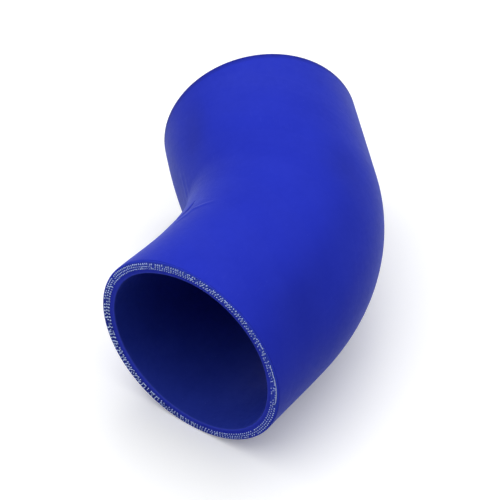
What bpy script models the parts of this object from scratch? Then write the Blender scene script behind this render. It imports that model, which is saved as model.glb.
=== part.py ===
"""Silicone elbow hose: a plain 45 degree coupler that joins two pipes of one size.

Cover, fabric plies and liner are cured into one laminate, so the hose is one solid. It lies on its side,
with the bend flat on the ground, the far leg along +Y and the near leg turned off towards -X and -Y.
Metres, +Z up, origin on the ground under the middle of the hose.
"""

import math

import bmesh
import bpy
from mathutils import Matrix, Vector

# The bore and the wall, as a hose is ordered
BORE = 0.076
WALL = 0.005

# The bend: its angle, and the radius of the bore's centre line
BEND_ANGLE = math.radians(45)
BEND_RADIUS = 0.076

# Each leg, along its centre line, from where the two centre lines would cross to its cut end
NEAR_LEG = 0.070
FAR_LEG = 0.081

# Both ends are trimmed square with a blade, which leaves a slightly softened edge
RIM_ROUND = 0.0006

# How finely the round shapes are divided. A multiple of four has a flat side at the bottom, to lie on
SIDES_ROUND = 64
BEND_STEPS = 12
RIM_STEPS = 2

# An edge that turns more than this is a trimmed rim, and shows as a sharp edge
RIM_CORNER = math.radians(60)
SHARP_ANGLE = math.radians(30)

SILICONE_BLUE = (0.027, 0.045, 0.515, 1)
SILICONE_ROUGHNESS = 0.45

OUTER_RADIUS = BORE / 2 + WALL
BORE_RADIUS = BORE / 2

# From the crossing of the centre lines to where the bend starts on either leg
BEND_TANGENT = BEND_RADIUS * math.tan(BEND_ANGLE / 2)

# Both legs point away from the crossing
FAR_WAY = Vector((0, 1, 0))
NEAR_WAY = Vector((-math.sin(BEND_ANGLE), -math.cos(BEND_ANGLE), 0))


def clear_scene():
    for obj in list(bpy.data.objects):
        bpy.data.objects.remove(obj, do_unlink=True)


def silicone():
    material = bpy.data.materials.new("blue_silicone")
    material.use_nodes = True
    shader = material.node_tree.nodes["Principled BSDF"]
    shader.inputs["Base Color"].default_value = SILICONE_BLUE
    shader.inputs["Roughness"].default_value = SILICONE_ROUGHNESS
    shader.inputs["Metallic"].default_value = 0
    return material


def circle(bm, radius, place):
    made = bmesh.ops.create_circle(bm, radius=radius, segments=SIDES_ROUND, matrix=place, cap_ends=False)
    return made["verts"]


def near_cut(bm):
    """The flat ring where the near leg is cut, square to the leg, with one of its flat sides downwards."""
    half_side = Matrix.Rotation(math.pi / SIDES_ROUND, 4, "Z")
    face_along_x = Matrix.Rotation(math.radians(90), 4, "Y")
    face_the_way = Matrix.Rotation(math.atan2(NEAR_WAY.y, NEAR_WAY.x), 4, "Z")
    place = Matrix.Translation(NEAR_WAY * NEAR_LEG) @ face_the_way @ face_along_x @ half_side
    cover = circle(bm, OUTER_RADIUS, place)
    bore = circle(bm, BORE_RADIUS, place)
    faces = []
    for side in range(SIDES_ROUND):
        after = (side + 1) % SIDES_ROUND
        faces.append(bm.faces.new((cover[side], cover[after], bore[after], bore[side])))
    return faces


def straight_run(bm, faces, move):
    """Draws the ring of faces out by a straight move, and gives the faces at its new end."""
    made = bmesh.ops.extrude_face_region(bm, geom=faces)["geom"]
    corners = [part for part in made if isinstance(part, bmesh.types.BMVert)]
    bmesh.ops.translate(bm, verts=corners, vec=move)
    return [part for part in made if isinstance(part, bmesh.types.BMFace)]


def bend(bm, faces):
    """Sweeps the ring of faces round the bend, and gives the faces at its new end."""
    centre = FAR_WAY * BEND_TANGENT + Vector((-BEND_RADIUS, 0, 0))
    made = bmesh.ops.spin(
        bm,
        geom=faces,
        cent=centre,
        axis=(0, 0, 1),
        angle=BEND_ANGLE,
        steps=BEND_STEPS,
        use_duplicate=False,
    )["geom_last"]
    return [part for part in made if isinstance(part, bmesh.types.BMFace)]


def soften_rims(bm):
    rims = [edge for edge in bm.edges if edge.calc_face_angle(0) > RIM_CORNER]
    bmesh.ops.bevel(bm, geom=rims, offset=RIM_ROUND, segments=RIM_STEPS, profile=0.5, affect="EDGES")


def rest_over_origin(bm):
    """Moves the hose so that the bottom of its box is centred on the origin."""
    lowest = Vector([min(vert.co[axis] for vert in bm.verts) for axis in range(3)])
    highest = Vector([max(vert.co[axis] for vert in bm.verts) for axis in range(3)])
    middle = (lowest + highest) / 2
    bmesh.ops.translate(bm, verts=bm.verts[:], vec=(-middle.x, -middle.y, -lowest.z))


def elbow_hose():
    bm = bmesh.new()
    bend_start = straight_run(bm, near_cut(bm), -NEAR_WAY * (NEAR_LEG - BEND_TANGENT))
    bend_end = bend(bm, bend_start)
    straight_run(bm, bend_end, FAR_WAY * (FAR_LEG - BEND_TANGENT))
    # The rings that the sweep passed through now lie inside the wall
    bmesh.ops.delete(bm, geom=bend_start + bend_end, context="FACES_ONLY")
    bmesh.ops.recalc_face_normals(bm, faces=bm.faces[:])
    soften_rims(bm)
    rest_over_origin(bm)
    mesh = bpy.data.meshes.new("elbow_hose")
    bm.to_mesh(mesh)
    bm.free()
    mesh.shade_smooth()
    mesh.set_sharp_from_angle(angle=SHARP_ANGLE)
    mesh.materials.append(silicone())
    hose = bpy.data.objects.new("elbow_hose", mesh)
    bpy.context.scene.collection.objects.link(hose)
    return hose


clear_scene()
elbow_hose()
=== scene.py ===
# %% [markdown]
# # A silicone elbow hose, finished as in its photograph
#
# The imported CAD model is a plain 45 degree elbow of the right size, in one colour. The real coupler shows
# how it was made: plies of woven cloth soaked in silicone are wrapped round a bent bar, wound with a tape
# that leaves its faint imprint, cured, and trimmed square with a blade, which bares three rows of pale yarn
# ends in the wall. This lesson builds the hose again with a finer skin, adds the yarns on both cuts, and
# then makes the silicone, the light and the camera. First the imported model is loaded. It says where the
# hose lies, so nothing has to be placed by eye.

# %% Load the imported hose
import math
import random

import bmesh
import bpy
import numpy as np
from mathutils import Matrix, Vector


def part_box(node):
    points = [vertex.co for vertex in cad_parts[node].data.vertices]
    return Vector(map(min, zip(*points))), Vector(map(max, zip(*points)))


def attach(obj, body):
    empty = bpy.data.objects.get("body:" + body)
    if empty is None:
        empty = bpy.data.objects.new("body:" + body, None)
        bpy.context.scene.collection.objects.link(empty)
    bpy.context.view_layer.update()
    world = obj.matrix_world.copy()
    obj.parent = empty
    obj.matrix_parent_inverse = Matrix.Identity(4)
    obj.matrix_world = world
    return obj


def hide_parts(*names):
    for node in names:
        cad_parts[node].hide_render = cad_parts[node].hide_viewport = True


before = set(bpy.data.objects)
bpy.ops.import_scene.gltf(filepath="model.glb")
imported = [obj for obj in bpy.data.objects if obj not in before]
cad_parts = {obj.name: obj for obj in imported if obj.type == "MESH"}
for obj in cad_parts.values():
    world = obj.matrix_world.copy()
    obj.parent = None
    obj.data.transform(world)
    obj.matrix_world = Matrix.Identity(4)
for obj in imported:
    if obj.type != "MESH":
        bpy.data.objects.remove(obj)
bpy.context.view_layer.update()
print("packed nodes:", sorted(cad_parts))

# %% [markdown]
# ## The sizes of the hose
#
# These are the sizes that the CAD model was built from: the bore, the wall, the bend, and both legs as
# measured from where their centre lines cross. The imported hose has 64 flat sides, so its box ends at the
# flats. That is enough to find the crossing, and with it every other place on the hose.

# %% Sizes and places
BORE_RADIUS = 0.038
WALL = 0.005
OUTER_RADIUS = BORE_RADIUS + WALL
BEND_ANGLE = math.radians(45)
BEND_RADIUS = 0.076
NEAR_LEG = 0.070
FAR_LEG = 0.081
PACKED_SIDES = 64
MILLI = 0.001

BEND_TANGENT = BEND_RADIUS * math.tan(BEND_ANGLE / 2)
NEAR_RUN = NEAR_LEG - BEND_TANGENT
BEND_RUN = BEND_RADIUS * BEND_ANGLE
FAR_RUN = FAR_LEG - BEND_TANGENT
HOSE_RUN = NEAR_RUN + BEND_RUN + FAR_RUN

UP = Vector((0, 0, 1))
FAR_WAY = Vector((0, 1, 0))
NEAR_WAY = Vector((-math.sin(BEND_ANGLE), -math.cos(BEND_ANGLE), 0))

packed_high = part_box("elbow_hose")[1]
flat_radius = OUTER_RADIUS * math.cos(math.pi / PACKED_SIDES)
CROSSING = Vector((packed_high.x - flat_radius, packed_high.y - FAR_LEG, OUTER_RADIUS))
BEND_CENTRE = CROSSING + FAR_WAY * BEND_TANGENT + Vector((-BEND_RADIUS, 0, 0))
NEAR_CUT = CROSSING + NEAR_WAY * NEAR_LEG
print("crossing", [round(x, 5) for x in CROSSING], "centre line", round(HOSE_RUN, 4), "m")

# %% [markdown]
# ## The camera
#
# The camera stands in front of the near cut, a little to its left, and looks down on the hose. Its place,
# turn, tilt and lens come from fitting the outline and the ellipses of the cut end, so they are written as
# numbers, and not nudged by hand.

# %% Camera
CAMERA_PLACE = (-0.09767, -0.62075, 0.62342)
CAMERA_TURN = math.radians(-9.0166)
CAMERA_TILT = math.radians(90 - 42.5045)
LENS = 149.195
SENSOR_WIDTH = 36


def add_object(name, data):
    obj = bpy.data.objects.new(name, data)
    bpy.context.scene.collection.objects.link(obj)
    return obj


camera_data = bpy.data.cameras.new("photo_camera")
camera_data.lens = LENS
camera_data.sensor_width = SENSOR_WIDTH
camera = add_object("photo_camera", camera_data)
camera.location = CAMERA_PLACE
camera.rotation_euler = (CAMERA_TILT, 0, CAMERA_TURN)
bpy.context.scene.camera = camera
print("camera", [round(x, 4) for x in camera.location])

# %% [markdown]
# ## One place for every point of the hose
#
# A pattern on a hose follows the hose: it runs along the centre line and round it. This helper gives, for
# any points, how far they are along the centre line from the near cut, the turn round it (none at the top,
# positive on the outside of the bend), the distance from it, and the direction straight away from it.
# The other helper goes the opposite way and gives a point, so both shapes and materials can use the pair.


# %% Hose places
def heading_at(along):
    """The turn of the hose's side direction at a distance along the centre line."""
    return np.clip((along - NEAR_RUN) / BEND_RADIUS, 0, BEND_ANGLE) - BEND_ANGLE


def side_and_ahead(heading):
    """The level direction across the hose, and the one along it, for these headings."""
    zero = np.zeros_like(heading)
    side = np.stack([np.cos(heading), np.sin(heading), zero], -1)
    ahead = np.stack([-np.sin(heading), np.cos(heading), zero], -1)
    return side, ahead


def hose_place(points):
    """The distance along, the turn, the distance out and the way straight out of each point."""
    past_far = (points - np.array(CROSSING)) @ np.array(FAR_WAY) - BEND_TANGENT
    past_near = (points - np.array(CROSSING)) @ np.array(NEAR_WAY) - BEND_TANGENT
    from_centre = points - np.array(BEND_CENTRE)
    swung = np.clip(np.arctan2(from_centre[:, 1], from_centre[:, 0]), -BEND_ANGLE, 0)
    on_near = past_near > 0
    on_far = ~on_near & (past_far > 0)
    heading = np.where(on_near, -BEND_ANGLE, np.where(on_far, 0, swung))
    along = NEAR_RUN + (heading + BEND_ANGLE) * BEND_RADIUS
    along = along - np.where(on_near, past_near, 0) + np.where(on_far, past_far, 0)
    side, ahead = side_and_ahead(heading)
    run = np.where(on_near, -past_near, 0) + np.where(on_far, past_far, 0)
    middle = np.array(BEND_CENTRE) + side * BEND_RADIUS + ahead * run[:, None]
    away = points - middle
    radius = np.linalg.norm(away, axis=1)
    turn = np.arctan2((away * side).sum(1), away[:, 2])
    return along, turn, radius, away / radius[:, None]


def hose_point(along, turn, radius):
    """The point at that place on the hose. All three may be arrays of one length."""
    along, turn, radius = np.broadcast_arrays(along, turn, radius)
    side, ahead = side_and_ahead(heading_at(along))
    run = np.minimum(along - NEAR_RUN, 0) + np.maximum(along - NEAR_RUN - BEND_RUN, 0)
    middle = np.array(BEND_CENTRE) + side * BEND_RADIUS + ahead * run[:, None]
    away = np.sin(turn)[:, None] * side + np.cos(turn)[:, None] * np.array(UP)
    return middle + away * radius[:, None]


def deselect_all():
    bpy.ops.object.select_all(action="DESELECT")


def select_only(obj):
    deselect_all()
    obj.select_set(True)
    bpy.context.view_layer.objects.active = obj


def select_verts(obj, wanted):
    """In edit mode, selects the vertices for which wanted is true."""
    mesh = bmesh.from_edit_mesh(obj.data)
    for vert, want in zip(mesh.verts, wanted):
        vert.select = bool(want)
    mesh.select_flush_mode()
    bmesh.update_edit_mesh(obj.data)


tried = hose_point(np.array([0.0, 0.06, HOSE_RUN]), np.array([0.3, -1.2, 2.0]), np.full(3, 0.04))
print("places there and back:", [np.round(x, 4).tolist() for x in hose_place(tried)[:3]])

# %% [markdown]
# ## The cut ring
#
# The blade's cut shows the wall as a flat ring. The outermost part is the cover, the middle holds the three
# plies, and the rest is the smooth liner. A filled circle is inset once for each border, and the disc that
# is left over is the bore, so it is deleted. The plies and the liner get several narrow rings each, so that
# the wall can settle unevenly and keep its numbers across the cut.

# %% Cut ring
SIDES = 240
COVER_WIDTH = 0.0005
PLIES_WIDTH = 0.0028
PLIES_RINGS = 6
LINER_WIDTH = WALL - COVER_WIDTH - PLIES_WIDTH
LINER_RINGS = 4

deselect_all()
bpy.ops.mesh.primitive_circle_add(
    vertices=SIDES,
    radius=OUTER_RADIUS,
    fill_type="NGON",
    location=NEAR_CUT,
    rotation=(math.radians(90), 0, -BEND_ANGLE),
)
hose = bpy.context.object
hose.name = "hose_wall"
bpy.ops.object.transform_apply(location=True, rotation=True, scale=True)
bpy.ops.object.mode_set(mode="EDIT")
bpy.ops.mesh.select_all(action="SELECT")
borders = [COVER_WIDTH] + [PLIES_WIDTH / PLIES_RINGS] * PLIES_RINGS
borders += [LINER_WIDTH / LINER_RINGS] * LINER_RINGS
for border in borders:
    bpy.ops.mesh.inset(thickness=border)
bpy.ops.mesh.delete(type="FACE")
ring_faces = len(bmesh.from_edit_mesh(hose.data).faces)
print("cut ring:", ring_faces, "faces, liner", round(LINER_WIDTH / MILLI, 2), "mm")

# %% [markdown]
# ## Sweeping the ring along the hose
#
# The ring is extruded along the near leg, spun round the bend's centre, and extruded along the far leg.
# Spin turns the ring exactly as the bent bar does, and its angle counts the other way than a rotation's. The
# steps are about a millimetre long, so that the creases that come later have points to move. The sweep
# leaves its in-between rings inside the wall, and those are deleted.

# %% Sweep
NEAR_STEPS = 36
BEND_STEPS = 58
FAR_STEPS = 44
MERGED_WITHIN = 0.000001


def extrude_in_steps(move, steps):
    for _ in range(steps):
        bpy.ops.mesh.extrude_region_move(TRANSFORM_OT_translate={"value": move / steps})


bpy.ops.mesh.select_all(action="SELECT")
extrude_in_steps(-NEAR_WAY * NEAR_RUN, NEAR_STEPS)
bpy.ops.mesh.spin(steps=BEND_STEPS, angle=-BEND_ANGLE, center=BEND_CENTRE, axis=UP)
extrude_in_steps(FAR_WAY * FAR_RUN, FAR_STEPS)
bpy.ops.mesh.select_all(action="DESELECT")
bpy.ops.mesh.select_interior_faces()
bpy.ops.mesh.delete(type="FACE")
bpy.ops.mesh.select_all(action="SELECT")
bpy.ops.mesh.remove_doubles(threshold=MERGED_WITHIN)
bpy.ops.mesh.normals_make_consistent(inside=False)
swept = bmesh.from_edit_mesh(hose.data)
loose = sum(len(edge.link_faces) != 2 for edge in swept.edges)
print("swept:", len(swept.faces), "faces,", loose, "edges that don't join two faces")

# %% [markdown]
# ## Softened rims
#
# A blade leaves a crisp edge on rubber, but never a knife edge. A small bevel on the four rims catches the
# light as a thin bright line, which a sharp corner can't.

# %% Rims
RIM_ROUND = 0.0004
RIM_STEPS = 3
ON_CUT = 0.00001
ON_RIM = 0.0001

swept.verts.ensure_lookup_table()
points = np.array([vert.co for vert in swept.verts])
along, _, radius, _ = hose_place(points)
at_cut = (along < ON_CUT) | (along > HOSE_RUN - ON_CUT)
at_rim = (np.abs(radius - OUTER_RADIUS) < ON_RIM) | (np.abs(radius - BORE_RADIUS) < ON_RIM)
bpy.ops.mesh.select_mode(type="VERT")
bpy.ops.mesh.select_all(action="DESELECT")
select_verts(hose, at_cut & at_rim)
bpy.ops.mesh.bevel(offset=RIM_ROUND, segments=RIM_STEPS, affect="EDGES")
bpy.ops.object.mode_set(mode="OBJECT")
print("with rims:", len(hose.data.polygons), "faces")

# %% [markdown]
# ## Reading and writing all points at once
#
# The soft shapes move thousands of points by a rule, so the points are read and written as one array. A
# soft hill gives most of these rules: it is one in the middle and dies out within its width.


# %% Point arrays
def read_points(obj):
    flat = np.empty(len(obj.data.vertices) * 3)
    obj.data.vertices.foreach_get("co", flat)
    return flat.reshape(-1, 3)


def write_points(obj, points):
    obj.data.vertices.foreach_set("co", points.ravel())
    obj.data.update()


def hill(value, middle, width):
    return np.exp(-(((value - middle) / width) ** 2))


def degrees_from(turn, degrees):
    """How far these turns are from one at that many degrees, the short way round."""
    return (np.degrees(turn) - degrees + 180) % 360 - 180


print("hill at its middle and its width:", hill(0, 0, 1), round(float(hill(1, 0, 1)), 2))

# %% [markdown]
# ## Creases drawn as lines on the hose
#
# Where the cloth is squeezed on the inside of the bend, the cover has a fold, a ridge in front of it, and
# fine lines that run up the far leg. A broad darker patch and a few pale marks of the tape are only a
# change of tone. Each is drawn as a path of stops: millimetres along the hose and degrees round it. How
# near a point is to the path gives both the height of a crease and, later, how pale the rubber there is,
# or, in the fold, how dark it is painted as shade.

# %% Crease lines
FOLD = ((34, -50), (40, -46.8), (46, -47.2), (52, -47.3))
RIDGE = ((29, -45), (34.5, -40), (38.5, -39.5), (41, -35), (44, -28))
BLOTCH = ((139, -43), (128, -46), (116, -51), (108, -58))
TAPE_MARKS = (((139, 50), (129, 66)), ((128, 54), (116, 71)), ((108, 56), (101, 66)))
STRETCH_LINES = (
    ((74, -73), (90, -77), (114, -74)),
    ((72, -66), (95, -71), (108, -70)),
    ((68, -80), (88, -83), (104, -82)),
    ((58, -57), (66, -62), (80, -66)),
)
LINES_MIDDLE = -60
FADED_ENDS = (0.04, 0.96)


def nearness(along, turn, path, width):
    """One on the path, dying out within width, in metres. The ends of the path fade."""
    spot = np.stack([along, np.radians(degrees_from(turn, LINES_MIDDLE)) * OUTER_RADIUS], -1)
    best = np.zeros(len(spot))
    stops = np.array([(s * MILLI, math.radians(t - LINES_MIDDLE) * OUTER_RADIUS) for s, t in path])
    legs = np.linalg.norm(np.diff(stops, axis=0), axis=1)
    whole, before = legs.sum(), 0
    for start, end, leg in zip(stops[:-1], stops[1:], legs):
        part = np.clip(((spot - start) @ (end - start)) / leg**2, 0, 1)
        gap = np.linalg.norm(spot - (start + part[:, None] * (end - start)), axis=1)
        fade = np.sin(np.clip((before + part * leg) / whole, *FADED_ENDS) * math.pi) ** 0.5
        best = np.maximum(best, hill(gap, 0, width) * fade)
        before += leg
    return best


def drawn(along, turn, lines):
    """What lines add up to at these places. Each has its path, its amount and its width."""
    return sum(amount * nearness(along, turn, path, width) for path, amount, width in lines)


print("on the fold:", nearness(np.array([0.042]), np.radians([-47]), FOLD, 0.001).round(2))

# %% [markdown]
# ## Finer faces where the creases are
#
# The sweep left faces of about a millimetre, too large for the crispest lines. The cover on the inside of
# the bend and up the far leg is divided once, and the part round the fold once more. The new points lie on
# the old faces, so the shape is unchanged.

# %% Finer faces
FINER_PATCHES = ((28, 116, -88, -26), (30, 62, -62, -30))
FINER_DEPTH = 0.0005

for first, last, from_turn, to_turn in FINER_PATCHES:
    along, turn, radius, _ = hose_place(read_points(hose))
    there = (along > first * MILLI) & (along < last * MILLI) & (radius > OUTER_RADIUS - FINER_DEPTH)
    select_only(hose)
    bpy.ops.object.mode_set(mode="EDIT")
    bpy.ops.mesh.select_mode(type="VERT")
    select_verts(hose, there & (np.degrees(turn) > from_turn) & (np.degrees(turn) < to_turn))
    bpy.ops.mesh.subdivide(number_cuts=1)
    bpy.ops.object.mode_set(mode="OBJECT")
print("points after the finer faces:", len(hose.data.vertices))

# %% [markdown]
# ## The soft shape of the rubber
#
# The trimmed end is a little swollen on its left, where the bar pressed the wall outwards, and the inside
# of the bend is drawn in. The cover isn't equally thick all round: where it is thicker, the plies and the
# bore lie deeper. Round both legs the wall has shallow hollows and swells, which break up the straight
# highlight. A spot has its millimetres along, degrees round, length, width and height, and a crease its
# path, height and width. The hose lies on the floor, so nothing sinks below it. One rule moves any point
# that was placed on the ideal hose, so the yarns can follow the wall later.

# %% Soft shape
SWELLINGS = ((0, -98, 9, 50, 0.00090), (0, -138, 9, 34, 0.00055))
NEAR_LEG_DRAW_IN = ((26, -58, 14, 24, -0.00080),)
HOLLOWS = (
    (84, 38, 9, 15, -0.00032),
    (118, -56, 20, 8, -0.00022),
    (112, -76, 26, 7, 0.00018),
    (60, 20, 16, 22, 0.00016),
    (20, 10, 12, 30, -0.00015),
    (105, 8, 18, 20, 0.00014),
    (64, 80, 14, 20, -0.00020),
    (30, 120, 14, 26, 0.00020),
    (96, 140, 18, 24, -0.00022),
    (52, -140, 16, 24, 0.00018),
)
BEND_DRAW_IN = ((95, -94, 24, 40, -0.00285),)
SUNK_PLIES = ((0, -20, 12, 26, -0.00100), (0, 92, 12, 24, -0.00055))
CREASES = [(FOLD, -0.00065, 0.0009), (RIDGE, 0.00035, 0.0012)]
CREASES += [(line, 0.00014, 0.0007) for line in STRETCH_LINES]


def soft_spots(along, turn, spots):
    """What soft spots add up to at these places on the hose."""
    total = np.zeros(len(along))
    for middle, degrees, long, wide, amount in spots:
        total += amount * hill(along / MILLI, middle, long) * hill(degrees_from(turn, degrees), 0, wide)
    return total


def settle(points):
    """Moves points of the ideal hose to where they are on the real one."""
    along, turn, radius, away = hose_place(points)
    through = np.clip((radius - BORE_RADIUS) / WALL, 0, 1)
    at_cover = np.clip(through * 3 - 2, 0, 1)
    under_cover = np.clip((1 - through) * 4, 0, 1)
    lift = soft_spots(along, turn, SWELLINGS + NEAR_LEG_DRAW_IN + HOLLOWS) * through
    lift += soft_spots(along, turn, BEND_DRAW_IN)
    lift += soft_spots(along, turn, SUNK_PLIES) * under_cover
    lift += drawn(along, turn, CREASES) * at_cover
    moved = points + away * lift[:, None]
    moved[:, 2] = np.maximum(moved[:, 2], 0)
    return moved


ideal = read_points(hose)
along, turn, radius, _ = hose_place(ideal)
settled = settle(ideal)
write_points(hose, settled)
print("moved at most", round(float(np.linalg.norm(settled - ideal, axis=1).max()) / MILLI, 2), "mm")

# %% [markdown]
# ## Laying a map on the hose
#
# The map's first number is the way round the hose and its second the way along it, both in metres, so a
# pattern keeps its real size on it. The map is cut open underneath, where the turn jumps from plus to minus
# half a round, and a face that crosses the cut gets all its corners on one side. Two more numbers are kept
# at every point: how deep it is in the wall, in millimetres, and how pale, or below zero how dark, the
# creases, the tape, dust and broad soft spots have made it. Part of that second number is painted light:
# shade in the fold, a highlight on the ridge, and painted highlights and painted shade in some spots on the
# tops and flanks.

# %% Map
HOSE_MAP = "round_and_along"
SKIN_DEPTH = 0.001
DARKEST, PALEST = -0.6, 1
# The fold's dark number is painted shade in the crease. The ridge's pale one is dust with a painted
# highlight, and the stretch lines are pale dust.
PALE_LINES = [(RIDGE, 0.6, 0.0010), (FOLD, -1.1, 0.0007), (BLOTCH, -0.15, 0.0078)]
PALE_LINES += [(line, 0.17, 0.0026) for line in TAPE_MARKS]
PALE_LINES += [(line, 0.50, 0.0006) for line in STRETCH_LINES]
DUST_AND_PAINTED_LIGHT_SPOTS = (
    # pale dust at the inside of the bend, two spots
    (50, -43, 6, 6, 0.45),
    (27, -50, 9, 6, 0.40),
    # painted highlight along the far leg's left edge
    (105, -76, 34, 8, 0.30),
    # pale dust among the stretch lines
    (66, -62, 10, 8, 0.25),
    # painted shade in a shallow dent on the bend
    (84, 36, 11, 14, -0.14),
    # painted highlight along the far leg's right flank
    (118, 74, 30, 9, 0.16),
    # painted shade on the right flank of the bend and the near leg, two spots
    (54, 46, 20, 11, -0.10),
    (24, 52, 15, 14, -0.17),
    # painted highlight on the top of the far leg and of the near leg, two spots
    (134, -8, 17, 38, 0.12),
    (20, -12, 12, 20, 0.06),
)


def lay_map(obj, turn, along):
    mesh = obj.data
    corners = np.empty(len(mesh.loops), int)
    mesh.loops.foreach_get("vertex_index", corners)
    starts = np.empty(len(mesh.polygons), int)
    totals = np.empty(len(mesh.polygons), int)
    mesh.polygons.foreach_get("loop_start", starts)
    mesh.polygons.foreach_get("loop_total", totals)
    face_of = np.repeat(np.arange(len(starts)), totals)
    corner_turn = turn[corners]
    highest = np.full(len(starts), -math.inf)
    np.maximum.at(highest, face_of, corner_turn)
    corner_turn = corner_turn + np.where(highest[face_of] - corner_turn > math.pi, 2 * math.pi, 0)
    uv = np.stack([corner_turn * OUTER_RADIUS, along[corners]], 1)
    layer = mesh.uv_layers.new(name=HOSE_MAP)
    layer.data.foreach_set("uv", uv.ravel())


def keep_number(obj, name, values):
    """Stores one number at every point of a mesh, for a material to read."""
    numbers = obj.data.attributes.new(name, "FLOAT", "POINT")
    numbers.data.foreach_set("value", np.asarray(values, np.float32))


lay_map(hose, turn, along)
keep_number(hose, "wall_depth", (OUTER_RADIUS - radius) / MILLI)
pale = drawn(along, turn, PALE_LINES) + soft_spots(along, turn, DUST_AND_PAINTED_LIGHT_SPOTS)
keep_number(hose, "pale", np.clip(pale, DARKEST, PALEST) * (radius > OUTER_RADIUS - SKIN_DEPTH))
print("map:", hose.data.uv_layers[0].name, "palest", round(float(pale.max()), 2))

# %% [markdown]
# ## Zones
#
# The cover, the cut faces and the bore are one piece of rubber, but they look different, so each gets its
# own material slot. A face belongs to a cut if it looks along the hose, and to the bore if it looks inwards.

# %% Zones
ZONES = ["silicone_cover", "silicone_cut", "silicone_liner"]
COVER_ZONE, CUT_ZONE, LINER_ZONE = range(3)
CUT_REACH = 0.0008
LEAST_OUTWARDS = 0.75
SMOOTH_ANGLE = math.radians(40)

for zone in ZONES:
    hose.data.materials.append(bpy.data.materials.new(zone))
centres = np.array([face.center for face in hose.data.polygons])
normals = np.array([face.normal for face in hose.data.polygons])
face_along, _, _, face_away = hose_place(centres)
outwards = (normals * face_away).sum(1)
at_end = (face_along < CUT_REACH) | (face_along > HOSE_RUN - CUT_REACH)
looks_along = (np.abs(outwards) < LEAST_OUTWARDS) & at_end
zone_of = np.where(looks_along, CUT_ZONE, np.where(outwards > 0, COVER_ZONE, LINER_ZONE))
hose.data.polygons.foreach_set("material_index", zone_of.astype(np.int32))
select_only(hose)
bpy.ops.object.shade_smooth_by_angle(angle=SMOOTH_ANGLE)
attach(hose, "root")
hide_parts("elbow_hose")
print("faces in each zone:", np.bincount(zone_of).tolist())

# %% [markdown]
# ## One cut yarn
#
# A yarn that is cut across shows as a small pale knob that stands a little proud of the rubber, because the
# rubber springs back under the blade and the filaments spread. It is modelled once: a seven-sided disc whose
# top is inset and raised twice, into a low dome. It is a millimetre wide here, and each copy is stretched to
# its own length and width. It keeps to a few dozen faces, since there are over a thousand copies.

# %% Cut yarn
KNOB_SIDES = 7
DOME_STEPS = ((0.13, 0.40), (0.18, 0.22))

deselect_all()
bpy.ops.mesh.primitive_cylinder_add(vertices=KNOB_SIDES, radius=0.5, depth=1, location=(0, 0, 0))
stamp = bpy.context.object
stamp.name = "cut_yarn"
bpy.ops.object.mode_set(mode="EDIT")
bpy.ops.mesh.select_mode(type="FACE")
bpy.ops.mesh.select_all(action="DESELECT")
stamp_mesh = bmesh.from_edit_mesh(stamp.data)
for face in stamp_mesh.faces:
    face.select = face.normal.z > 0.9
bmesh.update_edit_mesh(stamp.data)
for inwards, upwards in DOME_STEPS:
    bpy.ops.mesh.inset(thickness=inwards, depth=upwards)
bpy.ops.object.mode_set(mode="OBJECT")
stamp_points = read_points(stamp)
stamp_faces = [list(face.vertices) for face in stamp.data.polygons]
bpy.data.objects.remove(stamp, do_unlink=True)
print("cut yarn:", len(stamp_points), "points,", len(stamp_faces), "faces")

# %% [markdown]
# ## How the cloth meets the blade
#
# The cloth is wrapped on the bias round a bend, so the blade meets its yarns at an angle that changes round
# the cut. On the left they stand as separate round dots, across the top they are sliced at a slant, on the
# right they are ragged, at the bottom right small and neat, and from there round to the lower left they are
# drawn out to the next ply, into strokes and hooks. Each stop below gives, for one turn round the cut, the
# spacing of the yarns, the length and width of their ends, the lean of the slices, how irregular they are,
# how many are missing, how bright they are, how far bare cloth clouds the rubber between them and how light
# that rubber is painted, darker as shade towards the floor at the lower left, and how many are linked to
# the next ply or joined to the next yarn of their own. What lies between two stops is mixed.

# %% Cut styles
STYLE_WORDS = ("spacing", "long", "wide", "lean", "ragged", "missing", "bright", "cloud_and_painted_light", "linked", "joined")
CUT_STYLES = {
    -180: (1.35, 0.50, 0.40, 20, 0.50, 0.06, 1.00, 0.25, 0.30, 0.06),
    -150: (1.52, 0.57, 0.44, 30, 0.65, 0.10, 1.30, 0.06, 0.46, 0.12),
    -115: (1.66, 0.64, 0.49, 30, 0.70, 0.10, 1.35, 0.05, 0.42, 0.10),
    -92: (1.80, 0.74, 0.58, 20, 0.45, 0.06, 1.35, 0.12, 0.06, 0.03),
    -60: (1.25, 0.48, 0.42, 10, 0.30, 0.05, 1.10, 0.50, 0.02, 0.03),
    -30: (1.20, 0.48, 0.38, 15, 0.40, 0.08, 0.88, 0.70, 0.08, 0.12),
    0: (1.15, 0.78, 0.38, 42, 0.50, 0.06, 0.90, 0.95, 0.10, 0.05),
    30: (1.15, 0.74, 0.38, 36, 0.60, 0.08, 0.88, 0.85, 0.10, 0.06),
    60: (1.30, 0.56, 0.38, -30, 0.80, 0.24, 0.85, 0.60, 0.10, 0.12),
    85: (1.30, 0.44, 0.34, -50, 0.80, 0.34, 0.75, 0.50, 0.05, 0.22),
    105: (1.50, 0.44, 0.42, 0, 0.30, 0.10, 0.85, 0.40, 0.01, 0.04),
    140: (1.38, 0.44, 0.42, 0, 0.15, 0.03, 1.00, 0.35, 0.01, 0.02),
    180: (1.35, 0.50, 0.40, 20, 0.50, 0.06, 1.00, 0.25, 0.30, 0.06),
}


def style_at(turn):
    """Each number of the cut's style at these turns, in radians, mixed from the stops on either side."""
    stops = sorted(CUT_STYLES)
    rows = np.array([CUT_STYLES[stop] for stop in stops], float)
    degrees = degrees_from(turn, 0)
    return {word: np.interp(degrees, stops, rows[:, at]) for at, word in enumerate(STYLE_WORDS)}


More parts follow.
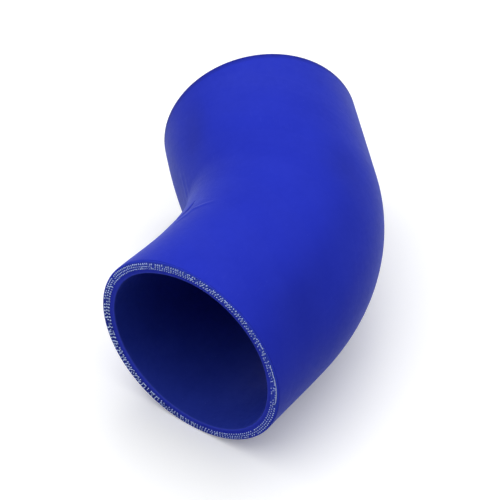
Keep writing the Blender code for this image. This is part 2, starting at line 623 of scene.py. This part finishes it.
# The cloud number also sets how light the cut's rubber is painted. It is low, as painted shade, near the
# floor.
keep_number(hose, "cloud_and_painted_light", style_at(turn)["cloud_and_painted_light"])
print("styles:", len(CUT_STYLES), "stops of", len(STYLE_WORDS), "numbers")

# %% [markdown]
# ## The rows of yarn ends
#
# Each ply gives one row. A row is walked round the cut from yarn to yarn, and each yarn gets a copy of the
# knob, turned to the lean of its slice and nudged by chance as far as the style there is ragged. A linked
# yarn gets a second copy, stretched across to the next ply, and a joined one a thin copy along its own row.
# All copies of one cut go into one mesh, and each carries its own brightness for the material to read.

# %% Rows of yarn ends
ROW_DEPTHS = (0.00095, 0.00185, 0.00280)
KNOB_THICK = 0.00036
FIRST_WITHIN = 0.02
LAST_BEFORE = 0.015
SPACING_RANGE = (0.9, 1.1)
ROW_WANDER = 0.00013
ROUND_WANDER = 0.00020
LEAN_WANDER = 30
WIDE_WANDER = 0.16
LONG_WANDER = 0.22
TONE_WANDER = 0.22
LEAST_SCALE = 0.5
LEAST_REACH = 0.00004
LINK_SLIP = (-0.55, 0.75)
LINK_WIDE, LINK_TONE = 0.62, 0.92
JOIN_WIDE, JOIN_TONE = 0.45, 0.62


def stretch_stamp(start, end, wide, outwards):
    """A copy of the knob that reaches from one point of the cut to another."""
    reach = np.linalg.norm(end - start)
    long_way = (end - start) / reach
    across = np.cross(outwards, long_way)
    axes = np.stack([long_way * (reach + wide), across * wide, outwards * KNOB_THICK])
    return (start + end) / 2 + stamp_points @ axes


def walk_row(style_turn, radius, chance):
    """The turns of the yarns of one row, in radians, with the spacing that the style asks for."""
    turns = []
    turn = -math.pi + chance.uniform(0, FIRST_WITHIN)
    while turn < math.pi - LAST_BEFORE:
        turns.append(turn)
        spacing = float(style_at(turn + style_turn)["spacing"]) * MILLI
        turn += spacing * chance.uniform(*SPACING_RANGE) / radius
    return turns


def yarn_rows(name, along, style_turn, seed):
    chance = random.Random(seed)
    side, ahead = side_and_ahead(heading_at(np.array([along])))
    outwards = ahead[0] * (-1 if along < HOSE_RUN / 2 else 1)

    def on_cut(turn, radius):
        return hose_point(np.array([along]), np.array([turn]), np.array([radius]))[0]

    copies, tones = [], []

    def add_copy(start, end, wide, tone):
        copies.append(stretch_stamp(start, end, wide, outwards))
        tones.append(tone)

    for ply, row_depth in enumerate(ROW_DEPTHS):
        row_radius = OUTER_RADIUS - row_depth
        turns = walk_row(style_turn, row_radius, chance)
        for turn, next_turn in zip(turns, turns[1:] + [turns[0] + 2 * math.pi]):
            style = {word: float(value) for word, value in style_at(turn + style_turn).items()}
            if chance.random() < style["missing"]:
                continue
            ragged = style["ragged"]
            radius = row_radius + chance.gauss(0, ROW_WANDER) * ragged
            nudged = turn + chance.gauss(0, ROUND_WANDER) * ragged / radius
            lean = math.radians(style["lean"] + chance.gauss(0, LEAN_WANDER) * ragged)
            wide = style["wide"] * MILLI * max(LEAST_SCALE, 1 + chance.gauss(0, WIDE_WANDER) * ragged)
            long = style["long"] * MILLI * max(LEAST_SCALE, 1 + chance.gauss(0, LONG_WANDER) * ragged)
            tone = style["bright"] * (1 + chance.gauss(0, TONE_WANDER) * ragged)
            reach = max(long - wide, LEAST_REACH) / 2
            out, round_by = reach * math.cos(lean), reach * math.sin(lean) / radius
            start = on_cut(nudged - round_by, radius - out)
            end = on_cut(nudged + round_by, radius + out)
            add_copy(start, end, wide, tone)
            if ply < len(ROW_DEPTHS) - 1 and chance.random() < style["linked"]:
                slip = chance.uniform(*LINK_SLIP) * MILLI / radius
                inner = on_cut(nudged + slip, OUTER_RADIUS - ROW_DEPTHS[ply + 1])
                add_copy(on_cut(nudged, radius), inner, wide * LINK_WIDE, tone * LINK_TONE)
            if chance.random() < style["joined"]:
                beyond = on_cut(next_turn, row_radius)
                add_copy(on_cut(nudged, radius), beyond, wide * JOIN_WIDE, tone * JOIN_TONE)
    count = len(stamp_points)
    faces = [[at * count + corner for corner in face] for at in range(len(copies)) for face in stamp_faces]
    mesh = bpy.data.meshes.new(name)
    mesh.from_pydata(settle(np.concatenate(copies)).tolist(), [], faces)
    rows = add_object(name, mesh)
    keep_number(rows, "tone", np.repeat(tones, count))
    print(name, len(copies), "copies,", len(mesh.polygons), "faces")
    return rows


near_ends = yarn_rows("near_yarn_ends", 0.0, 0.0, seed=7)
far_ends = yarn_rows("far_yarn_ends", HOSE_RUN, 1.1, seed=11)

# %% [markdown]
# ## A loose thread
#
# On the right of the near cut one yarn of the outer ply has come loose and lies on the rubber as a bright
# line, which ends in a small hook. It is a curve with a round section, made a mesh, so it bends as smoothly
# as a thread does.

# %% Loose thread
THREAD_RADIUS = 0.00013
THREAD_TONE = 0.85
THREAD_STOPS = (
    (-0.10, 68, 0.95), (-0.14, 74, 0.85), (-0.14, 80, 0.62), (-0.16, 86, 0.60),
    (-0.16, 91, 0.72), (-0.18, 95, 0.95), (-0.20, 96.5, 1.35), (-0.16, 96, 1.75),
)


def thread(name, stops):
    """A thin round thread through stops of millimetres along, degrees round and millimetres of depth."""
    curve = bpy.data.curves.new(name, "CURVE")
    curve.dimensions = "3D"
    curve.bevel_depth = THREAD_RADIUS
    curve.bevel_resolution = 1
    curve.resolution_u = 4
    curve.use_fill_caps = True
    line = curve.splines.new("NURBS")
    line.points.add(len(stops) - 1)
    along, degrees, depth = np.array(stops, float).T
    places = hose_point(along * MILLI, np.radians(degrees), OUTER_RADIUS - depth * MILLI)
    for point, place in zip(line.points, settle(places)):
        point.co = (*place, 1)
    line.order_u = 3
    line.use_endpoint_u = True
    select_only(add_object(name, curve))
    bpy.ops.object.convert(target="MESH")
    bpy.ops.object.shade_smooth()
    return bpy.context.object


loose_thread = thread("loose_thread", THREAD_STOPS)
keep_number(loose_thread, "tone", np.full(len(loose_thread.data.vertices), THREAD_TONE))
print("thread:", len(loose_thread.data.polygons), "faces")

# %% [markdown]
# ## A short way to add nodes
#
# A material is a chain of nodes. This helper adds one, sets what kind of sum or mix it is, and fills its
# inputs with plain numbers or with what another node puts out, so a chain reads from the top down. A second
# helper starts a node group with named inputs and outputs, for an effect that more than one finish uses.


# %% Node helpers
def put(tree, kind, inputs, **settings):
    node = tree.nodes.new("ShaderNode" + kind)
    for name, value in settings.items():
        setattr(node, name, value)
    for name, value in inputs.items():
        if isinstance(value, bpy.types.NodeSocket):
            tree.links.new(value, node.inputs[name])
        else:
            node.inputs[name].default_value = value
    return node


def feed(node, name, value):
    """Links what another node puts out into one of this node's inputs."""
    node.id_data.links.new(value, node.inputs[name])


def sum_of(tree, operation, first, second=0.0, third=0.0):
    return put(tree, "Math", {0: first, 1: second, 2: third}, operation=operation).outputs[0]


def times(tree, first, second):
    return sum_of(tree, "MULTIPLY", first, second)


def noise(tree, place, scale, detail=2.0, roughness=0.5):
    inputs = {"Vector": place, "Scale": scale, "Detail": detail, "Roughness": roughness}
    return put(tree, "TexNoise", inputs).outputs["Fac"]


def spread(tree, value, low, high, new_low=0.0, new_high=1.0):
    """Spreads the values between low and high over a new range, and stops at its ends."""
    inputs = {"Value": value, "From Min": low, "From Max": high, "To Min": new_low, "To Max": new_high}
    return put(tree, "MapRange", inputs).outputs["Result"]


def mix(tree, mask, one, other):
    return put(tree, "Mix", {"Factor": mask, "A": one, "B": other}, data_type="RGBA").outputs["Result"]


def say_nodes(name, tree):
    print(name, "has", len(tree.nodes), "nodes")


def new_group(name, inputs, outputs):
    """A node group with its sockets, what its inputs give inside it, and its last node."""
    group = bpy.data.node_groups.new(name, "ShaderNodeTree")
    for socket, value in inputs.items():
        kind = {str: "Vector", tuple: "Color"}.get(type(value), "Float")
        made = group.interface.new_socket(socket, in_out="INPUT", socket_type="NodeSocket" + kind)
        if kind != "Vector":
            made.default_value = value
    for socket, kind in outputs.items():
        group.interface.new_socket(socket, in_out="OUTPUT", socket_type="NodeSocket" + kind)
    return group, group.nodes.new("NodeGroupInput").outputs, group.nodes.new("NodeGroupOutput")


def use_group(tree, group, inputs):
    return put(tree, "Group", inputs, node_tree=group).outputs


# %% [markdown]
# ## Rubber grain
#
# Cured silicone is never one even colour. Over a few centimetres it is a little lighter and deeper, as the
# wall was pressed harder here and there, and close up it has a fine matt grain. This group puts out the
# colour, the roughness and the height of that grain, and the cover, the cut and the liner all use it.

# %% Rubber grain
CLOUD_SCALE = 55.0
BLOTCH_SCALE = 420.0
FINE_SCALE = 5200.0
ROUGHER = 0.05
FINE_ROUGHER = 0.03

grain_group, given, result = new_group(
    "rubber_grain",
    {"Place": "", "Colour": (0.02, 0.035, 0.5, 1), "Deeper": (0.01, 0.02, 0.4, 1), "Roughness": 0.5},
    {"Colour": "Color", "Roughness": "Float", "Height": "Float"},
)
tree = grain_group
clouds = spread(tree, noise(tree, given["Place"], CLOUD_SCALE, 3.0), 0.35, 0.68)
blotches = spread(tree, noise(tree, given["Place"], BLOTCH_SCALE, 4.0, 0.6), 0.3, 0.7)
fine = noise(tree, given["Place"], FINE_SCALE, 3.0, 0.6)
deep = sum_of(tree, "MULTIPLY_ADD", clouds, 0.62, times(tree, blotches, 0.38))
feed(result, "Colour", mix(tree, deep, given["Colour"], given["Deeper"]))
uneven = spread(tree, blotches, 0.0, 1.0, -ROUGHER, ROUGHER)
rough = sum_of(tree, "ADD", given["Roughness"], uneven)
rough = sum_of(tree, "ADD", rough, spread(tree, fine, 0.3, 0.7, -FINE_ROUGHER, FINE_ROUGHER))
feed(result, "Roughness", rough)
height = sum_of(tree, "MULTIPLY_ADD", fine, 0.5, times(tree, blotches, 0.5))
feed(result, "Height", height)
say_nodes(tree.name, tree)

# %% [markdown]
# ## Cloth imprint
#
# While it cures, the hose is held in a woven tape, and its weave stays on the rubber as rows of tiny dimples,
# crossing at an angle to the hose. Two waves that cross and multiply make them. The map is in metres, so the
# spacing is a real distance. The bore has the same imprint, coarser, from the cloth next to the bar.

# %% Cloth imprint
imprint_group, given, result = new_group(
    "cloth_imprint", {"Map": "", "Spacing": 0.0008, "Slant": 0.6}, {"Height": "Float"}
)
tree = imprint_group
parts = put(tree, "SeparateXYZ", {0: given["Map"]}).outputs
slanted = sum_of(tree, "MULTIPLY_ADD", parts["X"], given["Slant"], parts["Y"])
crossed = sum_of(tree, "SUBTRACT", parts["X"], times(tree, parts["Y"], given["Slant"]))
waves = []
for way in (slanted, crossed):
    turns = sum_of(tree, "DIVIDE", way, given["Spacing"])
    waves.append(sum_of(tree, "SINE", times(tree, turns, 2 * math.pi)))
feed(result, "Height", times(tree, *waves))
say_nodes(tree.name, tree)

# %% [markdown]
# ## Dust and rub marks
#
# Silicone draws dust, and it scuffs pale where it is handled. Specks come from the cells of a Voronoi
# texture, of which only a few are kept, and rub marks from noise that is stretched along the map.

# %% Dust and rub marks
SPECK_SCALE = 900.0
STREAK_SCALE = 1500.0
PATCH_SCALE = 45.0

dust_group, given, result = new_group(
    "dust_and_rubs", {"Place": "", "Map": "", "Specks": 0.3, "Rubs": 0.3}, {"Mask": "Float"}
)
tree = dust_group
cells = put(tree, "TexVoronoi", {"Vector": given["Place"], "Scale": SPECK_SCALE})
near_speck = spread(tree, cells.outputs["Distance"], 0.10, 0.22, 1.0, 0.0)
cell_number = put(tree, "SeparateColor", {0: cells.outputs["Color"]}).outputs["Red"]
few = spread(tree, cell_number, 0.93, 0.96)
specks = times(tree, times(tree, near_speck, few), given["Specks"])
stretch = {"Vector": given["Map"], "Scale": (1.0, 0.09, 1.0), "Rotation": (0, 0, 0.3)}
drawn_out = put(tree, "Mapping", stretch).outputs[0]
streaks = spread(tree, noise(tree, drawn_out, STREAK_SCALE, 3.0, 0.55), 0.60, 0.80)
patches = spread(tree, noise(tree, given["Place"], PATCH_SCALE, 2.0), 0.50, 0.72)
rubs = times(tree, times(tree, streaks, patches), given["Rubs"])
feed(result, "Mask", sum_of(tree, "MAXIMUM", specks, rubs))
say_nodes(tree.name, tree)

# %% [markdown]
# ## Rims: painted shade and wear
#
# The map's second number says how far a point is from either end, so this mask is one at both rims and
# dies out within the given width, unevenly. On the cover it paints a thin dark line of shade along each
# rounded rim, and in the bore it makes the lip pale where it is rubbed.

# %% Rims, painted shade and wear
RIM_PATCH_SCALE = 320.0

rim_group, given, result = new_group("rim_wear_and_shade", {"Map": "", "Place": "", "Width": 0.001}, {"Mask": "Float"})
tree = rim_group
along_map = put(tree, "SeparateXYZ", {0: given["Map"]}).outputs["Y"]
from_far = sum_of(tree, "SUBTRACT", HOSE_RUN, along_map)
from_rim = sum_of(tree, "MINIMUM", along_map, from_far)
near_rim = spread(tree, from_rim, 0.0, given["Width"], 1.0, 0.0)
patchy = spread(tree, noise(tree, given["Place"], RIM_PATCH_SCALE, 3.0), 0.30, 0.60, 0.65, 1.0)
feed(result, "Mask", times(tree, near_rim, patchy))
say_nodes(tree.name, tree)

# %% [markdown]
# ## The blue cover
#
# The cover is satin royal blue. It scatters light more than it reflects it, so the gloss is low, and a
# little bluish sheen lifts the sides that turn away. On the grain lie the tape's weave and the steps where
# one turn of the tape overlapped the last, which show as faint slanting bands. The dark line at the rims
# is painted shade, and widens towards the far cut. The numbers kept at every point make the creases pale
# with dust, and paint the fold dark as shade, the ridge pale as a highlight, and a few spots on the tops
# and flanks as highlights and shade.

# %% Cover
SATIN_GLOSS = 0.03
SHEEN_WEIGHT = 0.16
SHEEN_ROUGHNESS = 0.4
SHEEN_TINT = (0.5, 0.68, 1.0, 1)
BLUE = (0.0185, 0.0335, 0.515, 1)
DEEP_BLUE = (0.0155, 0.0285, 0.47, 1)
# Dust and wear, and the painted highlights, are mixed towards this pale blue.
DUST_AND_HIGHLIGHT_BLUE = (0.090, 0.120, 0.590, 1)
# The dark blue of the painted shade in the fold and along the rims.
PAINTED_SHADE_BLUE = (0.010, 0.015, 0.200, 1)
TAPE_PITCH = 0.019
TAPE_SLANT = 0.42
TAPE_WANDER = 0.0022
# Widths of the painted shade line along the near and the far rim.
NEAR_RIM_SHADE, FAR_RIM_SHADE = 0.0006, 0.0036
CREASE_PALER, BAND_PALER, FOLD_SHADE_DARKER, PALE_ROUGHER = 0.75, 0.012, 0.85, 0.12
WEAVE_HEIGHT = 0.00004
TAPE_HEIGHT = 0.00005


def start_material(name):
    """A material, its node tree, its main shader, and the places that its patterns follow."""
    material = bpy.data.materials.get(name) or bpy.data.materials.new(name)
    material.use_nodes = True
    tree = material.node_tree
    place = tree.nodes.new("ShaderNodeTexCoord").outputs["Object"]
    return material, tree, tree.nodes["Principled BSDF"], place


def rubber_layers(tree, place, colour, deeper, roughness, specks, rubs):
    """The hose's map, and the grain and the dust that all its rubber has."""
    hose_map = put(tree, "UVMap", {}, uv_map=HOSE_MAP).outputs["UV"]
    rubber = {"Place": place, "Colour": colour, "Deeper": deeper, "Roughness": roughness}
    dusty = {"Place": place, "Map": hose_map, "Specks": specks, "Rubs": rubs}
    return hose_map, use_group(tree, grain_group, rubber), use_group(tree, dust_group, dusty)


def number_at(tree, name):
    return put(tree, "Attribute", {}, attribute_name=name).outputs["Fac"]


def bump(tree, height, strength, distance, under=None):
    inputs = {"Height": height, "Strength": strength, "Distance": distance}
    if under:
        inputs["Normal"] = under
    return put(tree, "Bump", inputs).outputs["Normal"]


material, tree, shader, place = start_material("silicone_cover")
hose_map, grain, dust = rubber_layers(tree, place, BLUE, DEEP_BLUE, 0.5, specks=0.25, rubs=0.22)
imprint = use_group(tree, imprint_group, {"Map": hose_map, "Spacing": 0.0009, "Slant": 0.6})
parts = put(tree, "SeparateXYZ", {0: hose_map}).outputs
# Painted shade: a dark line along each rounded rim, wider towards the far cut.
rim_width = spread(tree, parts["Y"], 0.0, HOSE_RUN, NEAR_RIM_SHADE, FAR_RIM_SHADE)
rims = use_group(tree, rim_group, {"Map": hose_map, "Place": place, "Width": rim_width})
wavy = spread(tree, noise(tree, place, 90.0), 0.0, 1.0, -TAPE_WANDER, TAPE_WANDER)
wound = sum_of(tree, "ADD", sum_of(tree, "MULTIPLY_ADD", parts["X"], TAPE_SLANT, parts["Y"]), wavy)
turn_part = sum_of(tree, "FRACT", sum_of(tree, "DIVIDE", wound, TAPE_PITCH))
from_step = sum_of(tree, "ABSOLUTE", sum_of(tree, "SUBTRACT", turn_part, 0.5))
step_line = spread(tree, from_step, 0.0, 0.11, 1.0, 0.0)
band = spread(tree, turn_part, 0.45, 0.56)
# This number holds the creases' dust, the tape and dust marks, and painted highlights and painted shade.
marks_and_painted_light = number_at(tree, "pale")
broken = spread(tree, noise(tree, place, 260.0, 4.0, 0.6), 0.25, 0.65, 0.35, 1.0)
# Pale dust, and painted highlights on the ridge and on a few spots of the tops and flanks.
dust_and_painted_highlight = times(tree, spread(tree, marks_and_painted_light, 0.0, 1.0), broken)
# Painted shade: the fold is darkened where the number kept at each point is below zero.
painted_fold_shade = spread(tree, marks_and_painted_light, 0.0, -0.5)
lighter = sum_of(tree, "ADD", times(tree, band, BAND_PALER), dust["Mask"])
paleness = sum_of(tree, "ADD", times(tree, dust_and_painted_highlight, CREASE_PALER), lighter)
colour = mix(tree, paleness, grain["Colour"], DUST_AND_HIGHLIGHT_BLUE)
# Painted shade: the fold and the dark lines along the rims are mixed towards a dark blue.
shaded = sum_of(tree, "MAXIMUM", times(tree, painted_fold_shade, FOLD_SHADE_DARKER), rims["Mask"])
feed(shader, "Base Color", mix(tree, shaded, colour, PAINTED_SHADE_BLUE))
dusty = sum_of(tree, "MULTIPLY_ADD", dust_and_painted_highlight, PALE_ROUGHER, grain["Roughness"])
feed(shader, "Roughness", dusty)
shader.inputs["Specular IOR Level"].default_value = SATIN_GLOSS
shader.inputs["Sheen Weight"].default_value = SHEEN_WEIGHT
shader.inputs["Sheen Roughness"].default_value = SHEEN_ROUGHNESS
shader.inputs["Sheen Tint"].default_value = SHEEN_TINT
weave = sum_of(tree, "MULTIPLY_ADD", imprint["Height"], 0.35, grain["Height"])
weave_normal = bump(tree, weave, 0.35, WEAVE_HEIGHT)
tape = sum_of(tree, "ADD", band, times(tree, step_line, 0.6))
feed(shader, "Normal", bump(tree, tape, 0.3, TAPE_HEIGHT, weave_normal))
say_nodes(material.name, tree)

# %% [markdown]
# ## The cut face
#
# The depth in the wall decides what shows: a line of cover, then the rubber between the yarns, clouded
# where bare cloth lies under the surface and painted dark navy as shade at the lower left near the floor,
# and the smooth liner, which is painted lighter towards its lip as a highlight. Each depth is given in
# millimetres, from where a change starts to where it ends. The blade leaves faint parallel drag lines
# across it all.

# %% Cut face
CUT_NAVY = (0.012, 0.024, 0.300, 1)
CUT_CLOUD = (0.070, 0.125, 0.560, 1)
CUT_COVER = (0.012, 0.022, 0.330, 1)
CUT_LINER = (0.0235, 0.040, 0.520, 1)
DEEP_CUT_LINER = (0.018, 0.031, 0.44, 1)
CUT_SKIN = (0.032, 0.058, 0.640, 1)
LIP_HIGHLIGHT_BLUE = (0.045, 0.070, 0.580, 1)
COVER_ENDS = (0.30, 0.60)
PLIES_START = (0.38, 0.62)
PLIES_END = (3.30, 3.05)
LIP_HIGHLIGHT_STARTS = (4.1, 4.8)
DEPTH_WANDER = 0.14
FRAY_HEIGHT = 0.00010

material, tree, shader, place = start_material("silicone_cut")
_, grain, dust = rubber_layers(tree, place, CUT_LINER, DEEP_CUT_LINER, 0.55, specks=0.5, rubs=0.2)
wander = spread(tree, noise(tree, place, 700.0, 3.0), 0.0, 1.0, -DEPTH_WANDER, DEPTH_WANDER)
depth = sum_of(tree, "ADD", number_at(tree, "wall_depth"), wander)
threads = spread(tree, noise(tree, place, 1300.0, 4.0, 0.65), 0.36, 0.64)
cloud_and_painted_light = number_at(tree, "cloud_and_painted_light")
# Painted shade: where the cloud number is low, at the lower left near the floor, the cut is darker.
cloud_and_light_mask = spread(tree, cloud_and_painted_light, 0.15, 0.5)
plies = mix(tree, cloud_and_light_mask, CUT_NAVY, CUT_LINER)
plies = mix(tree, times(tree, threads, cloud_and_painted_light), plies, CUT_CLOUD)
cover_cut = mix(tree, cloud_and_light_mask, CUT_COVER, CUT_SKIN)
in_plies = times(tree, spread(tree, depth, *PLIES_START), spread(tree, depth, *PLIES_END))
colour = mix(tree, spread(tree, depth, *COVER_ENDS), cover_cut, grain["Colour"])
colour = mix(tree, in_plies, colour, plies)
# Painted highlight: the liner on the cut is mixed lighter towards its lip.
colour = mix(tree, spread(tree, depth, *LIP_HIGHLIGHT_STARTS, 0.0, 0.6), colour, LIP_HIGHLIGHT_BLUE)
colour = mix(tree, dust["Mask"], colour, DUST_AND_HIGHLIGHT_BLUE)
feed(shader, "Base Color", colour)
feed(shader, "Roughness", grain["Roughness"])
shader.inputs["Specular IOR Level"].default_value = SATIN_GLOSS
across = {"Vector": place, "Scale": (1.0, 1.0, 9.0), "Rotation": (0.0, 0.5, 0.0)}
drag = noise(tree, put(tree, "Mapping", across).outputs[0], 380.0, 3.0, 0.6)
scored = sum_of(tree, "MULTIPLY_ADD", drag, 0.8, grain["Height"])
frayed = sum_of(tree, "MULTIPLY_ADD", times(tree, threads, in_plies), 0.8, scored)
feed(shader, "Normal", bump(tree, frayed, 0.5, FRAY_HEIGHT))
say_nodes(material.name, tree)

# %% [markdown]
# ## The liner in the bore
#
# The bore was cured against the polished bar, so it is smoother and a touch glossier than the cover, and
# its blue is a little greyer. Its blue is also painted darker than the liner on the cut face, as shade
# inside the bore. The cloth behind the thin liner still prints through.

# %% Liner
# Painted shade: the bore's blues are darker than the same liner on the cut face.
SHADED_LINER_BLUE = (0.022, 0.043, 0.37, 1)
DEEPER_SHADED_LINER_BLUE = (0.014, 0.030, 0.30, 1)
LINER_GLOSS = 0.1
LIP_WIDTH = 0.0008

material, tree, shader, place = start_material("silicone_liner")
layers = rubber_layers(tree, place, SHADED_LINER_BLUE, DEEPER_SHADED_LINER_BLUE, 0.46, specks=0.35, rubs=0.12)
hose_map, grain, dust = layers
imprint = use_group(tree, imprint_group, {"Map": hose_map, "Spacing": 0.0013, "Slant": 0.9})
rims = use_group(tree, rim_group, {"Map": hose_map, "Place": place, "Width": LIP_WIDTH})
worn = sum_of(tree, "MULTIPLY_ADD", rims["Mask"], 0.4, dust["Mask"])
feed(shader, "Base Color", mix(tree, worn, grain["Colour"], DUST_AND_HIGHLIGHT_BLUE))
feed(shader, "Roughness", grain["Roughness"])
shader.inputs["Specular IOR Level"].default_value = LINER_GLOSS
printed = sum_of(tree, "MULTIPLY_ADD", imprint["Height"], 0.5, grain["Height"])
feed(shader, "Normal", bump(tree, printed, 0.35, WEAVE_HEIGHT))
say_nodes(material.name, tree)

# %% [markdown]
# ## The pale yarns
#
# The yarns are white polyester that has soaked up a trace of blue. Each copy carries its own brightness,
# from rubber blue to nearly white, and fine noise stands for its filaments, in colour and in height.

# %% Yarn
YARN_SOAKED = (0.05, 0.085, 0.55, 1)
YARN_PALE = (0.58, 0.72, 1.0, 1)
YARN_GLOSS = 0.5
FILAMENT_HEIGHT = 0.00006

material, tree, shader, place = start_material("pale_yarn")
filaments = noise(tree, place, 7000.0, 3.0, 0.6)
tone = times(tree, number_at(tree, "tone"), spread(tree, filaments, 0.3, 0.7, 0.78, 1.12))
feed(shader, "Base Color", mix(tree, tone, YARN_SOAKED, YARN_PALE))
feed(shader, "Roughness", spread(tree, filaments, 0.3, 0.7, 0.40, 0.55))
shader.inputs["Specular IOR Level"].default_value = YARN_GLOSS
feed(shader, "Normal", bump(tree, filaments, 0.5, FILAMENT_HEIGHT))
for piece in (near_ends, far_ends, loose_thread):
    piece.data.materials.append(material)
    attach(piece, "root")
say_nodes(material.name, tree)

# %% [markdown]
# ## The floor
#
# The hose lies on a plain white table with a soft gloss, which picks up a little of the blue beside the
# hose. The table throws back a natural amount of light, so its own colour is a middle grey. What the camera
# and a reflection see of it is paler, and gets a small glow, both through Light Path. That brings the open
# table up to white and leaves the shadow in place.

# %% Floor
TABLE_SIDE = 8
TABLE_MIDDLE = (0, 1.5, 0)
TABLE_GREY = (0.42, 0.42, 0.42, 1)
TABLE_SEEN = (0.97, 0.97, 0.97, 1)
TABLE_GLOW = (0.19, 0.19, 0.19, 1)


def seen_directly(tree):
    """One for the camera's own rays and for what gloss and clear materials show, else none."""
    rays = put(tree, "LightPath", {}).outputs
    shown = sum_of(tree, "MAXIMUM", rays["Is Camera Ray"], rays["Is Glossy Ray"])
    return sum_of(tree, "MAXIMUM", shown, rays["Is Transmission Ray"])


deselect_all()
bpy.ops.mesh.primitive_plane_add(size=TABLE_SIDE, location=TABLE_MIDDLE)
floor = bpy.context.object
floor.name = "floor"
bpy.ops.object.transform_apply(location=True, rotation=True, scale=True)
material, tree, shader, place = start_material("white_table")
shown = seen_directly(tree)
feed(shader, "Base Color", mix(tree, shown, TABLE_GREY, TABLE_SEEN))
feed(shader, "Emission Color", mix(tree, shown, (0, 0, 0, 1), TABLE_GLOW))
feed(shader, "Roughness", spread(tree, noise(tree, place, 9.0, 3.0), 0.3, 0.7, 0.30, 0.40))
shader.inputs["Emission Strength"].default_value = 1.0
floor.data.materials.append(material)
print("floor:", [round(side) for side in floor.dimensions])

# %% [markdown]
# ## Soft studio light
#
# The photograph has no hard highlight, only a wide soft one along the top of the hose. A large soft box
# hangs overhead, and a weak one on either side lifts the flanks. A dim cool sky fills the rest, and its
# background is white wherever it is seen directly. Each box has its place, its aim, its side and its watts.

# %% Light
SKY_COLOUR = (0.92, 0.97, 1.0, 1)
SKY_STRENGTH = 0.15
SOFT_BOXES = {
    "overhead_box": ((0.0, 0.15, 1.6), (0.0, 0.15, 0.0), 2.6, 37),
    "left_box": ((-1.4, -0.25, 0.7), (-0.03, -0.05, 0.02), 1.2, 3.6),
    "right_box": ((1.3, -0.45, 0.9), (0.03, 0.0, 0.02), 1.2, 2.2),
}

world = bpy.data.worlds.new("studio")
bpy.context.scene.world = world
world.use_nodes = True
tree = world.node_tree
fill = tree.nodes["Background"]
fill.inputs["Color"].default_value = SKY_COLOUR
fill.inputs["Strength"].default_value = SKY_STRENGTH
backdrop = put(tree, "Background", {"Color": (1, 1, 1, 1), "Strength": 1.0})
sky = put(tree, "MixShader", {0: seen_directly(tree), 1: fill.outputs[0], 2: backdrop.outputs[0]})
feed(tree.nodes["World Output"], "Surface", sky.outputs[0])


def soft_box(name, place, target, side, watts):
    data = bpy.data.lights.new(name, "AREA")
    data.shape = "RECTANGLE"
    data.size = data.size_y = side
    data.energy = watts
    lamp = add_object(name, data)
    lamp.location = place
    lamp.rotation_euler = (Vector(target) - Vector(place)).to_track_quat("-Z", "Y").to_euler()


for name, box in SOFT_BOXES.items():
    soft_box(name, *box)
print("lamps:", len(bpy.data.lights))

# %% [markdown]
# ## Picture settings
#
# Standard shows each colour as it is written, which a studio picture of a product wants.

# %% Picture settings
bpy.context.scene.view_settings.view_transform = "Standard"
print("view:", bpy.context.scene.view_settings.view_transform)
